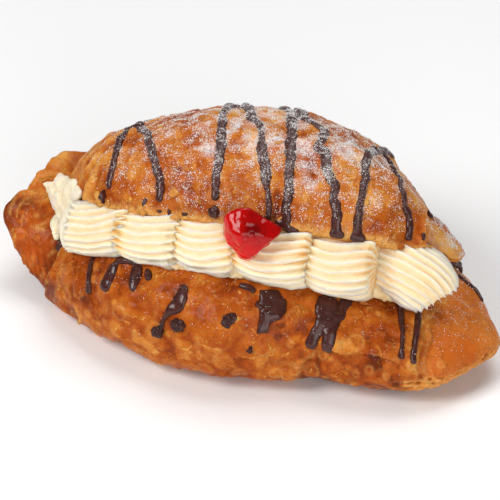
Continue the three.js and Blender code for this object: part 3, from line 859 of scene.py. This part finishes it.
cream_parts = [make_shell(i, *row) for i, row in enumerate(SHELLS)]
cream_parts += [
    # a filler behind the shells, deep yellow as painted shade where it shows between them
    make_lump((2, -8, 39.5), (54, 17.5, 8.5), -12, 1, rough=0.6, tone=0.7, size=(110, 60)),
    make_lump((-54, -13.6, 33), (3.5, 8, 8), 0, 4, rough=0.5, tone=0.25, size=(40, 60)),
    make_bead([(-50, -14, 29.5), (-42, -19, 33.5), (-30, -23, 36), (-22, -25.8, 36.8), (-6, -27, 37.9),
               (7, -26.6, 38), (13, -26, 37), (28, -21.6, 35), (44, -17.4, 33), (52, -14.8, 31),
               (60, -12, 28)], [2.6, 3, 3.0, 3.0, 3.1, 3.0, 2.6, 1.6, 2.8, 3.0, 2.8, 2.6], 3),
    make_smear([(-72.6, 7.9, 31.2), (-69.6, 4.4, 29.3), (-66.9, 1.9, 28.3), (-65.1, 0, 27), (-64, -2, 25.6),
                (-61.4, -5, 27.5), (-57, -8.5, 32), (-53.5, -11, 38), (-52.3, -10.3, 43.6), (-55.9, -4.8, 44),
                (-60.5, 1.2, 40.2), (-64, 7.5, 36.6), (-67.9, 10.4, 34.9), (-69.3, 8.8, 32.6)],
               (-0.8, -1.8, 1.8), 1.2, 5),
    make_smear([(-64.3, -1.5, 26.4), (-66.1, -2.8, 25.5), (-65.5, -5, 24.6), (-63.6, -7.9, 23),
                (-62, -8.8, 22.4), (-60.4, -7.6, 22.6), (-60, -6, 24), (-58.5, -5, 26), (-58.5, -3, 28),
                (-61.5, -1, 28)],
               (-0.6, -1.6, 1.5), 1.0, 6),
]
add_piece("cream", merge(cream_parts), cream, ["cream"])

# ---------------------------------------------------------------- cherry: a cut piece, all soft facets

CHERRY_CENTRE = np.array((10.3, -30.4, 54.6))
# Each flat is the way it faces and its distance from the middle of the piece.
CHERRY_FLATS = [
    ((-0.15, 0.56, 0.82), 7.6), ((0.34, 0.62, 0.7), 6.45), ((0.75, -0.22, -0.62), 6.1),
    ((-0.6, -0.59, -0.54), 7.1), ((-0.95, -0.31, 0), 8.1), ((-0.67, 0.28, 0.68), 8.6),
    ((-0.13, -0.71, 0.69), 6.7), ((0.45, -0.45, 0.77), 5.7), ((0.4, -0.79, 0.47), 5.9),
    ((0, -0.6, -0.8), 8.0), ((0.42, -0.9, -0.05), 5.3), ((-0.4, -0.88, -0.25), 5.8),
    ((-0.75, -0.65, 0.1), 7.2), ((0, 1, -0.1), 5.6), ((0.5, 0.6, -0.3), 7.6), ((1, 0.1, 0.15), 9.6),
    ((-0.6, 0.7, -0.3), 6.5),
]
CHERRY_SHARPNESS = 24


def make_cherry():
    way = ball(110, 150)
    total = 0
    for facing, distance in CHERRY_FLATS:
        total = total + np.maximum(0, way @ unit(np.array(facing)) / distance) ** CHERRY_SHARPNESS
    skin = Skin(way * (total ** (-1 / CHERRY_SHARPNESS))[..., None] + CHERRY_CENTRE)
    skin.push(0.34 * swirl(skin.p, 4.4, 2) + 0.13 * swirl(skin.p, 1.9, 2))
    # darker towards the upper right, and darkest at a core there
    aside = (skin.p - CHERRY_CENTRE) @ np.array((0.6, 0.1, 0.8))
    core = near(skin.p, (12.4, -34.6, 59), (4, 4, 3))
    skin.looks["deep"] = np.clip(0.34 + 0.05 * aside + 0.5 * core, 0, 1)
    return skin.mesh()


add_piece("cherry", make_cherry(), cherry_red, ["cherry"])

# ---------------------------------------------------------------- chocolate: strands and spots on the crust

crust_points, crust_faces, _ = merge(crust_meshes)
crust_tree = BVHTree.FromPolygons(crust_points.tolist(), [f for a in crust_faces for f in a.tolist()])
drip = Noise(51)
STRAND_THICKNESS = 1.25


def on_crust(points):
    """The nearest places on the crust, and the ways it faces there."""
    found = [crust_tree.find_nearest(Vector(p)) for p in points]
    return np.array([f[0] for f in found]), np.array([f[1] for f in found])


def smoothed(rows, passes):
    for _ in range(passes):
        rows = np.concatenate([rows[:1], (rows[:-2] + 2 * rows[1:-1] + rows[2:]) / 4, rows[-1:]])
    return rows


def make_strand(route, widths, seed, wavy):
    """A strand along a route. widths are spread evenly along it, and wavy says how uneven it is."""
    d, path = run_along(route, 0.45)
    path, way = on_crust(path)
    path, way = smoothed(path, 3), unit(smoothed(way, 8))
    side = unit(np.cross(way, np.gradient(path, axis=0)))
    w = spread(widths, d) / 2
    q = np.stack([d, 0 * d + seed * 7.3, 0 * d], -1)
    left = w * (1 + wavy * drip(q, 2.6, 2))
    right = w * (1 + wavy * drip(q + 90, 2.6, 2))
    high = STRAND_THICKNESS * (1 + wavy * drip(q + 50, 2.2, 2)) * np.minimum(1, w / 0.9) ** 0.5
    from_end = np.minimum(d, d[-1] - d) + 0.02
    blunt = np.sqrt(np.clip(1 - (1 - np.minimum(1, from_end / w)) ** 2, 0.02, 1))
    a = np.linspace(0, np.pi, 10)
    across = np.concatenate([np.cos(a), [-0.5, 0.5]])[None]
    up = np.concatenate([np.sin(a) ** 0.75, [0, 0]])[None]
    sunk = np.concatenate([0 * a, [0.5, 0.5]])[None] + 0.25
    reach = np.where(across > 0, left[:, None], right[:, None]) * across * blunt[:, None]
    rise = high[:, None] * up * blunt[:, None] ** 0.7 - sunk
    rings = path[:, None] + side[:, None] * reach[..., None] + way[:, None] * rise[..., None]
    return Skin(rings).mesh()


def make_spot(centre, radii, seed, thick):
    """A spot or splash with an uneven outline, more so if thin. radii are spread evenly round it."""
    ragged = 0.6 if thick < 1.1 else 0.3
    (centre,), (way,) = on_crust([centre])
    side = unit(np.cross(way, (0, 0, 1) if abs(way[2]) < 0.9 else (1, 0, 0)))
    rise = np.cross(side, way)
    a = 2 * np.pi * np.arange(40) / 40
    keys = np.linspace(0, 2 * np.pi, len(radii) + 1)
    r = keyed(a, list(zip(keys, list(radii) + [radii[0]])))
    r = r * (1 + ragged * drip(np.stack([np.cos(a) * 3, np.sin(a) * 3, 0 * a + seed * 5.1], -1), 1.3, 3))
    rings = []
    for share, height in [(0, -0.6), (0.6, -0.6), (0.97, -0.5), (1, 0.1), (0.97, 0.45), (0.86, 0.75),
                          (0.65, 0.93), (0.35, 1), (0, 1)]:
        flat = centre + (side * (np.cos(a) * r)[:, None] + rise * (np.sin(a) * r)[:, None]) * share
        laid, _ = on_crust(flat)
        h = thick * height if height > 0 else height
        rings.append(laid + way * h)
    return Skin(np.array(rings)).mesh()


def make_patch(outline, seed, thick):
    """A splash of chocolate inside an outline on the crust."""
    outline = np.array(outline, float)
    edge = round_outline(outline, 90)
    edge = edge + 0.35 * drip(edge + seed, 1.5, 2)[:, None]
    middle = on_crust([outline.mean(axis=0)])[0][0]
    rings = []
    for share, height in [(0, -0.7), (0.5, -0.7), (0.97, -0.6), (1, 0.1), (0.98, 0.35), (0.94, 0.52),
                          (0.87, 0.68), (0.75, 0.82), (0.6, 0.92), (0.45, 0.97), (0.3, 1), (0.15, 1), (0, 1)]:
        laid, way = on_crust(middle + (edge - middle) * share)
        rings.append(laid + unit(way.mean(axis=0)) * (thick * height if height > 0 else height))
    return Skin(np.array(rings)).mesh()


# Each strand is its route and its widths, in mm. These run over the lid, from the left, to its torn edge.
LID_STRANDS = [
    ([(-38, 24, 46), (-40, 14, 54), (-42.4, 2.8, 59.6), (-42.2, -2.2, 59), (-41.2, -6.8, 58.6),
      (-40.6, -10.6, 57.4), (-40.9, -13.9, 53.6), (-40.6, -16.2, 50.9)],
     [1.6, 2.0, 2.2, 2.2, 2.2, 2.2, 2.3, 2.5]),
    ([(-41, 6, 58), (-38.7, 8, 59), (-36, 5, 61)], [1.8, 2.2, 2.0]),
    ([(-39, 30, 40), (-40, 20, 52), (-38.7, 8, 59), (-32, -1.5, 63), (-28.4, -8.6, 63), (-24.3, -15.6, 60.5),
      (-22, -19.5, 57), (-21.7, -21.6, 53.5)], [1.6, 2.0, 2.6, 2.4, 2.2, 2.4, 2.6, 2.2]),
    ([(-15, 38, 32), (-16, 32, 50), (-13, 20, 63), (-9, 1, 70), (-6.2, -8, 69), (-5, -14, 66.6),
      (-4.7, -18.6, 63), (-3.8, -22, 58)], [1.8, 2.4, 2.6, 2.7, 2.2, 2.8, 2.6, 2.2]),
    ([(-9, 36, 42), (-10, 28, 58), (-5.8, 19, 66), (-1.4, 8, 70), (2.2, 4, 71), (5.5, -3.6, 70.7),
      (7.1, -8.5, 69.6), (9.2, -12, 68), (11, -15.5, 65.5), (12.3, -18.2, 62.6)],
     [1.8, 2.2, 2.0, 2.3, 3.0, 2.8, 3.0, 2.4, 1.5, 3.0, 3.2, 1.6]),
    ([(11.8, -17, 64), (12.6, -18.8, 62), (13.6, -21.2, 58.8), (13.9, -23.5, 55.2)], [1.2, 1.5, 1.7, 1.4]),
    ([(4, 38, 38), (2, 31, 57), (7, 20, 66), (11, 9.5, 69.6), (14.4, -2, 70.4), (16.5, -10, 68.2),
      (18.1, -15, 65), (19.2, -19.4, 60.4), (20, -23, 55)], [1.8, 2.4, 3.6, 2.6, 3.0, 3.0, 2.9, 2.6, 2.6]),
    ([(16.5, -22.5, 55.5), (20, -23, 54.5), (24, -22.8, 54)], [2.0, 2.8, 1.8]),
    ([(7, 24, 64), (14.5, 13.5, 68), (19, 9, 69), (22, 8, 69), (23, 2.8, 69.2), (23.3, -0.8, 69.2),
      (26.7, -5.7, 67.7), (29, -10.7, 65.4), (31, -11.8, 64), (32.5, -15, 61), (34.2, -17.3, 58),
      (35.2, -22.2, 54.6)], [1.8, 2.8, 2.2, 2.6, 2.0, 2.8, 2.4, 3.2, 2.8, 2.6, 2.9, 2.8, 2.6]),
    ([(33, -22.8, 54.6), (35.3, -22.8, 54.2), (37.8, -22, 53.6)], [2.0, 2.6, 1.8]),
    ([(35, 34, 34), (36, 28, 50), (36.5, 14, 63), (37.9, 0.5, 67.8), (40.1, -8.2, 66.5), (40.2, -13.1, 62.4),
      (40.9, -16.7, 60), (41.2, -18.8, 57.8), (41.6, -20.1, 55.1), (41.5, -20.8, 53.6)],
     [1.8, 2.2, 2.8, 2.6, 3.0, 2.8, 2.6, 2.2, 2.2, 2.6]),
    ([(39.2, -21.2, 54), (41.5, -21, 53.4), (44, -20, 53)], [2.2, 2.6, 1.8]),
    ([(37, 32, 42), (35.5, 27.5, 54), (38.2, 23, 56), (42, 17.6, 57), (46, 8, 61), (48.7, 0.9, 60.9),
      (51.4, -4.5, 59.2), (53.4, -6.3, 54.6), (54.8, -8.9, 52), (55, -10.4, 50.1), (55, -11.4, 48.6)],
     [1.8, 2.2, 2.4, 2.0, 1.8, 2.0, 2.0, 2.0, 2.2]),
    ([(44, 29, 43), (47, 28, 40), (49.5, 26.5, 38.5), (52, 25, 37), (54.5, 23.5, 35.5)],
     [1.6, 1.8, 1.4, 1.8, 1.4]),
]
# These run down the front of the base, and on the right corner behind the cream.
FRONT_STRANDS = [
    ([(-45.6, -18.6, 27), (-45, -23, 24.9), (-44, -27.6, 22.6), (-43.4, -30.3, 19.5)], [1.6, 1.6, 1.6, 2.0]),
    ([(-35.6, -25.6, 30.7), (-35.8, -28.4, 28.7), (-36.4, -31, 26.3), (-37.2, -32.4, 23.6)],
     [2.6, 3.2, 3.4, 3.4]),
    ([(-36, -25.6, 30.8), (-31.2, -25.8, 32.4), (-27, -26.4, 32.6)], [1.8, 1.9, 2.2]),
    ([(-27.2, -26.4, 32.6), (-27.3, -29, 31), (-27, -32, 29.4), (-26.9, -34.4, 27.2)], [2.6, 3.2, 2.8, 1.4]),
    ([(-24.4, -27.8, 32.3), (-23.1, -29.6, 31.7), (-22, -31.8, 30.4)], [0.9, 2.0, 1.8]),
    ([(-10.2, -32.4, 32.6), (-9.9, -35, 31), (-10.8, -37.6, 28.4), (-13.4, -39.2, 25.5), (-14.8, -39.9, 23),
      (-15.4, -40.4, 20)], [1.6, 3.4, 4.1, 2.5, 1.1, 1.3]),
    ([(6.5, -30, 33.8), (9.6, -29.8, 33.4), (11.9, -30.6, 32.4)], [1.6, 1.9, 1.4]),
    ([(8.4, -37.2, 28.6), (6.3, -38.8, 26.8), (4.8, -40, 24.8)], [2.6, 2.8, 3.4]),
    ([(15, -32.8, 30.4), (12.8, -33.4, 30.7)], [2.4, 2.6]),
    ([(38.8, -20.8, 30), (38.4, -24.5, 28.5), (38.2, -28, 26.2)], [4.4, 2.2, 3]),
    ([(32.8, -30.5, 25.5), (31.9, -33, 22.3), (31.2, -34.4, 18.8)], [3.2, 2.9, 3.1]),
    ([(36.2, -30, 25), (36.6, -32.8, 20.8), (36.6, -33.7, 17.9)], [3.6, 3.2, 3.1]),
    ([(53.2, -12.6, 27), (54.4, -16, 26.4), (55.6, -19.2, 25.8), (57.8, -24.7, 23.9)], [2.2, 1.7, 1.6, 1.3]),
    ([(57.6, -24.4, 24), (58.6, -28.7, 21.2), (59.1, -31.3, 18.7)], [1.2, 1.2, 1.9]),
    ([(59.3, -12.5, 25.3), (60.9, -20.1, 23.3), (61.8, -25, 21.8), (62.2, -28.5, 19.6), (63, -31, 17.4)],
     [1.9, 1.7, 1.6, 1.6, 1.8]),
    ([(62.5, 15.5, 24), (64.5, 18.5, 21.5), (66.5, 21, 19.5)], [1.6, 2.0, 1.4]),
    ([(64.9, 13.4, 20.8), (66.8, 14.4, 19.6), (69.1, 13.2, 19.2), (70.8, 13, 18.2), (72.9, 11.3, 17.3),
      (75, 9, 16.2)], [1.1, 1.2, 1.1, 1.3, 1.1, 0.9]),
]
# Each spot is its place, its radii all round and its thickness.
SPOTS = [
    ((-26.5, -21.3, 51.5), [0.4, 1.6, 0.5, 1.1], 0.6),
    ((-21.2, -23, 51.6), [1.2, 0.4, 0.9, 0.6], 0.6),
    ((-18, -23.8, 51.5), [0.4, 1.3, 0.4, 0.7], 0.6),
    ((-12.7, -24, 52.6), [1.4, 0.5, 1.0, 0.4], 0.7),
    ((-3.4, -24, 55.2), [1.9, 2.1, 1.7, 1.8], 1.6),
    ((-60.3, -9.8, 21.8), [2.2, 2.8, 2.2, 3.0], 1.6),
    ((-16.2, -40.4, 18.8), [2.2, 1.5, 2.4, 1.8, 2.1, 2.6], 1.7),
    ((-9.6, -40.7, 23.1), [2.3, 2.1, 2.5, 2.3], 1.9),
    ((13.5, -40.1, 18.8), [0.8, 1.2, 0.8, 1.1], 0.8),
    ((58.9, -7.6, 49), [0.6, 1.3, 0.6, 1.3], 0.7),
    ((9.5, 22, 65.5), [2.6, 3.4, 2.2, 3.0], 2.0),
    ((-11, 20, 64), [2.2, 1.2, 2.4, 1.0], 1.2),
]
# The outline of a chip on the lid's edge, and of each splash on the base.
SHARD = [(-42, -15, 50.2), (-41.1, -15.6, 49.2), (-40.3, -16, 48.3), (-40.5, -17, 47.2), (-40.8, -18, 46.2),
         (-42.3, -17.6, 47.2), (-43.9, -17.3, 48.3), (-42.9, -16.2, 49.2)]
SPLASHES = [
    [(13.2, -29.2, 32.9), (16, -27.8, 32.9), (18.5, -27, 32.6), (21.5, -29, 30.7), (22.5, -31.1, 29.1),
     (21.6, -33.2, 27.5), (19.5, -35, 26.4), (18.6, -35.6, 26), (18.6, -37.1, 23.6), (17, -37.8, 23.4),
     (15.5, -38.2, 23.7), (15, -37.2, 25.5), (14.6, -34.4, 28.8), (13.8, -31.9, 31.3)],
    [(30.2, -23.8, 30.9), (33.1, -22.2, 30.7), (35.1, -21.8, 30.4), (36.2, -23.2, 29.6), (37.4, -25.7, 28.3),
     (39.2, -26.8, 27.4), (37.9, -31.5, 23.2), (34.8, -32, 23.4), (31.7, -32.4, 23.6), (31.4, -30, 26.7),
     (30.3, -27.8, 28.8)],
]
chocolate_parts = [make_patch(outline, 9 * k, 1.3) for k, outline in enumerate(SPLASHES)]
chocolate_parts.append(make_patch(SHARD, 70, 1.9))
# the strands spread by this much as they settled, and those on the lid are more uneven
for settled, wavy, strands in [(1.22, 0.28, LID_STRANDS), (1.32, 0.14, FRONT_STRANDS)]:
    chocolate_parts += [make_strand(route, [settled * w for w in widths], 3 * k + settled, wavy)
                        for k, (route, widths) in enumerate(strands)]
chocolate_parts += [make_spot(centre, radii, k, thick) for k, (centre, radii, thick) in enumerate(SPOTS)]


def fused(name, mesh_data, voxel, passes):
    """One skin round overlapping lumps, and smoothed, as (points, faces) in mm."""
    points, faces, _ = mesh_data
    piece = add_piece(name, (points, faces, {}), None)
    remesh = piece.modifiers.new("fuse", "REMESH")
    remesh.mode, remesh.voxel_size, remesh.use_smooth_shade = "VOXEL", voxel * MM, True
    smooth = piece.modifiers.new("smooth", "SMOOTH")
    smooth.factor, smooth.iterations = 0.5, passes
    made = bpy.data.meshes.new_from_object(piece.evaluated_get(bpy.context.evaluated_depsgraph_get()))
    bpy.data.objects.remove(piece)
    co = np.zeros(len(made.vertices) * 3, np.float32)
    made.vertices.foreach_get("co", co)
    corners = np.zeros(len(made.loops), np.int32)
    made.loops.foreach_get("vertex_index", corners)
    return co.reshape(-1, 3) / MM, corners.reshape(-1, 4)


choc_points, choc_faces = fused("chocolate_raw", merge(chocolate_parts), 0.32, 3)
# at these places on the front the chocolate broke up into crumbs
CRUMBLED = [(-16, -40.4, 19.2), (-9.6, -41, 23.3), (6.4, -38.8, 27.8), (13.6, -40.7, 20)]
crumbled = np.clip(sum(near(choc_points, c, (3, 3.4, 3)) for c in CRUMBLED) * 1.6, 0, 1)
choc_points = choc_points + crumbled[:, None] * 0.7 * np.stack(
    [drip(choc_points + 40 * k, 1.2, 2) for k in range(3)], -1)
choc_looks = {"crumbly": crumbled, "sugar": np.clip(
    ramp(choc_points[:, 2], 55, 70) * (0.66 + 0.5 * drip(choc_points, 6, 2)) + 0.05, 0, 1)}
chocolate_mesh = (choc_points, [choc_faces], choc_looks)
add_piece("chocolate_strands", chocolate_mesh, chocolate)

# ---------------------------------------------------------------- icing sugar and loose flakes

def scatter(mesh_data, density, count, seed):
    """Random places on a mesh, and the ways it faces there. density(points, normals, sugar) is how likely
    one is at each place."""
    points, faces, looks = mesh_data
    tris = np.concatenate([f[:, [0, k + 1, k + 2]] for f in faces for k in range(f.shape[1] - 2)])
    a, b, c = points[tris[:, 0]], points[tris[:, 1]], points[tris[:, 2]]
    n = np.cross(b - a, c - a)
    area, n = np.linalg.norm(n, axis=1), unit(n)
    weight = area * density((a + b + c) / 3, n, looks["sugar"][tris].mean(axis=1))
    rng = np.random.default_rng(seed)
    chosen = np.searchsorted(np.cumsum(weight) / weight.sum(), rng.random(count)).clip(0, len(tris) - 1)
    u, v = rng.random((2, count, 1))
    u, v = np.where(u + v > 1, 1 - u, u), np.where(u + v > 1, 1 - v, v)
    return a[chosen] * (1 - u - v) + b[chosen] * u + c[chosen] * v, n[chosen]


def make_grains(places, ways, sizes, seed):
    """Small uneven crystals with four faces."""
    rng = np.random.default_rng(seed)
    count = len(places)
    corners = np.array([(1, 0, -0.3), (-0.5, 0.87, -0.3), (-0.5, -0.87, -0.3), (0, 0, 0.9)])
    faces = np.array([(0, 1, 3), (1, 2, 3), (2, 0, 3), (0, 2, 1)])
    turns = np.linalg.qr(rng.normal(size=(count, 3, 3)))[0]
    turns = turns * np.sign(np.linalg.det(turns))[:, None, None]
    size = (sizes[0] + (sizes[1] - sizes[0]) * rng.random(count) ** 2.5)[:, None, None]
    shape = corners[None] * size * (0.7 + 0.6 * rng.random((count, 4, 1)))
    p = places[:, None] + np.einsum("nij,nkj->nki", turns, shape) + ways[:, None] * (size * 0.4)
    return p.reshape(-1, 3), [(faces[None] + 4 * np.arange(count)[:, None, None]).reshape(-1, 3)], {}


def dusted(p, n, sugar):
    clumps = np.clip(0.35 + 0.9 * flecks(p, 3.5, 3), 0.02, 1.5)
    return sugar**1.3 * clumps * ramp(n[:, 2], -0.1, 0.6)


base_mesh, lid_mesh, lobe_mesh = crust_meshes
grain_counts = [(lid_mesh, 31000), (base_mesh, 2600), (lobe_mesh, 2800), (chocolate_mesh, 5200)]
landed = [scatter(mesh_data, dusted, count, 61 + k) for k, (mesh_data, count) in enumerate(grain_counts)]
places, ways = (np.concatenate(group) for group in zip(*landed))
add_piece("icing_sugar", make_grains(places, ways, (0.08, 0.26), 65), sugar_white)


def make_flake(place, way, size, seed):
    """A thin curled scale of crust, lifted at one side."""
    rng = np.random.default_rng(seed)
    side = unit(np.cross(way, rng.normal(size=3)))
    other = np.cross(way, side)
    sides = 11
    a = 2 * np.pi * np.arange(sides) / sides
    r = size * (0.6 + 0.5 * rng.random(sides)) * (1 + 0.3 * np.cos(2 * a + rng.random() * 6))
    curl, slope, lean = rng.normal() * 0.05, 0.1 + 0.25 * rng.random(), rng.random() * 6
    rings = []
    for share, drop in [(0, 1), (0.55, 1), (1, 0.7), (1, 0), (0.55, 0), (0, 0)]:
        u, v = np.cos(a) * r * share, np.sin(a) * r * share
        leant = u * math.cos(lean) + v * math.sin(lean)
        h = 0.12 + curl * leant**2 + slope * leant + 0.14 * drop
        rings.append(place + side * u[:, None] + other * v[:, None] + way * h[:, None])
    skin = Skin(np.array(rings))
    tone, bare = 0.15 + 0.6 * rng.random(), 0.1 + 0.6 * rng.random()
    shape = skin.p.shape[:2]
    skin.looks = {"brown": np.full(shape, tone), "pale": np.full(shape, bare), "sugar": np.full(shape, 0.1)}
    return skin.mesh()


def flake_chance(p, n, sugar):
    torn = bell(p[:, 2] - 50, 5) * (p[:, 1] < -8) * 3 + 0.5
    return torn * ramp(p[:, 2], 3, 8) * ramp(n[:, 2], -0.6, 0.2) * ramp(p[:, 0], -52, -44)


flakes = []
for k, (mesh_data, count) in enumerate([(base_mesh, 10), (lid_mesh, 44)]):
    places, ways = scatter(mesh_data, flake_chance, count, 70 + k)
    rng = np.random.default_rng(80 + k)
    flakes += [make_flake(p, w, 0.6 + 1.5 * rng.random() ** 2, 1000 * k + i)
               for i, (p, w) in enumerate(zip(places, ways))]
add_piece("crust_flakes", merge(flakes), crust)

# ---------------------------------------------------------------- studio

FLOOR = 3.0  # metres from its middle to each side
floor_corners = [(-FLOOR, -FLOOR, 0), (FLOOR, -FLOOR, 0), (FLOOR, FLOOR, 0), (-FLOOR, FLOOR, 0)]
floor_mesh = bpy.data.meshes.new("studio_floor")
floor_mesh.from_pydata(floor_corners, [], [(0, 1, 2, 3)])
floor_mesh.materials.append(floor_look())
floor = bpy.data.objects.new("studio_floor", floor_mesh)
bpy.context.scene.collection.objects.link(floor)

world = bpy.data.worlds.new("studio")
world.use_nodes = True
surroundings = world.node_tree.nodes["Background"]
surroundings.inputs["Color"].default_value = (1.0, 1.0, 1.0, 1.0)
surroundings.inputs["Strength"].default_value = 0.15
bpy.context.scene.world = world
bpy.context.scene.view_settings.view_transform = "Standard"


def soft_light(name, place, size, power):
    """A square lamp that points at the pastry. Places and sizes are in metres."""
    aim = Vector((0, 0, 0.03))
    data = bpy.data.lights.new(name, "AREA")
    data.shape, data.size, data.energy = "SQUARE", size, power
    light = bpy.data.objects.new(name, data)
    light.location = place
    light.rotation_euler = (aim - Vector(place)).to_track_quat("-Z", "Y").to_euler()
    bpy.context.scene.collection.objects.link(light)


soft_light("key_light", (-0.55, -0.65, 0.85), 0.5, 8.4)
soft_light("top_light", (0.1, 0.35, 1.1), 0.7, 6.2)
soft_light("fill_light", (0.6, -0.95, 0.45), 0.8, 6.6)

AZIMUTH, ELEVATION, DISTANCE = math.radians(18), math.radians(35), 900 * MM
# what the camera aims at, measured to the right, up and back as the camera sees them
AIM_RIGHT, AIM_UP, AIM_BACK = 0.477 * MM, 21.306 * MM, 14.34 * MM
right = Vector((math.cos(AZIMUTH), math.sin(AZIMUTH), 0))
level = Vector((-math.sin(AZIMUTH), math.cos(AZIMUTH), 0))
up = level * math.sin(ELEVATION) + Vector((0, 0, math.cos(ELEVATION)))
back = right.cross(up)
camera_data = bpy.data.cameras.new("camera")
camera_data.sensor_width = 36
camera_data.lens = 203.8
camera_data.clip_start = 0.05
camera = bpy.data.objects.new("camera", camera_data)
camera.matrix_world = Matrix((
    (right.x, up.x, back.x, 0), (right.y, up.y, back.y, 0), (right.z, up.z, back.z, 0), (0, 0, 0, 1)
))
camera.location = right * AIM_RIGHT + up * AIM_UP + back * (AIM_BACK + DISTANCE)
bpy.context.scene.collection.objects.link(camera)
bpy.context.scene.camera = camera

bpy.context.view_layer.update()
